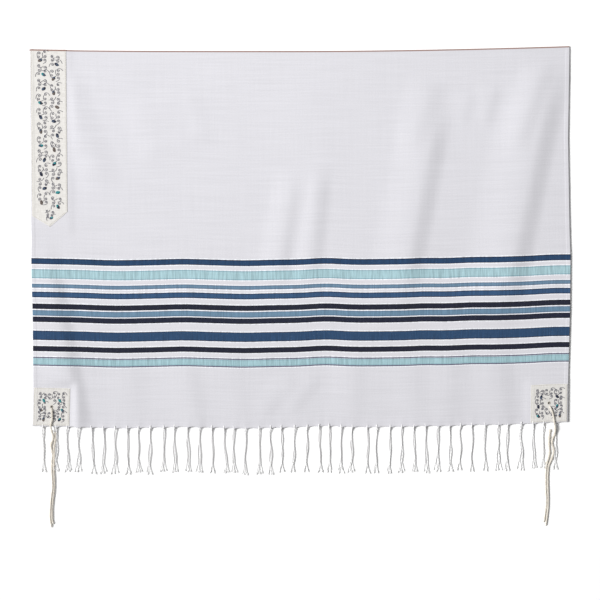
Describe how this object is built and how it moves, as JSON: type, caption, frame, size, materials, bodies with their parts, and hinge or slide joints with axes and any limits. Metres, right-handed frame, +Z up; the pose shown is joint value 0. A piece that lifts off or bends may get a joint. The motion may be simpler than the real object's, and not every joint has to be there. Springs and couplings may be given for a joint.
{
  "type": "tallit prayer shawl, folded in half",
  "caption": "White striped prayer shawl laid flat and folded in half, with a neckband, corner squares, fringed ends and corner tassels.",
  "frame": {"origin": "middle of the laid shawl's footprint, fringes included and tassels left out, on the surface it lies on", "axes": "+X across the cloth towards the selvage without the neckband, +Y towards the fold, +Z up"},
  "size_m": [1.1038, 0.9823, 0.0094],
  "materials": {
    "woven_cloth": "matt fine plain weave, off-white, with ribbed stripes in blue, aqua, steel blue and near-black navy",
    "ivory_linen": "matt ivory linen with grey scroll embroidery and small satin-stitch leaves in teal and navy",
    "fringe_yarn": "matt off-white yarn, twisted and knotted",
    "tassel_yarn": "matt cream yarn, knotted and wound"
  },
  "bodies": {
    "root": {"shawl_cloth": "woven_cloth", "neckband": "ivory_linen", "corner_front_left": "ivory_linen", "corner_front_right": "ivory_linen", "corner_back_left": "ivory_linen", "corner_back_right": "ivory_linen", "fringe_front": "fringe_yarn", "fringe_back": "fringe_yarn", "tzitzit_front_left": "tassel_yarn", "tzitzit_front_right": "tassel_yarn", "tzitzit_back_left": "tassel_yarn", "tzitzit_back_right": "tassel_yarn"}
  },
  "joints": []
}
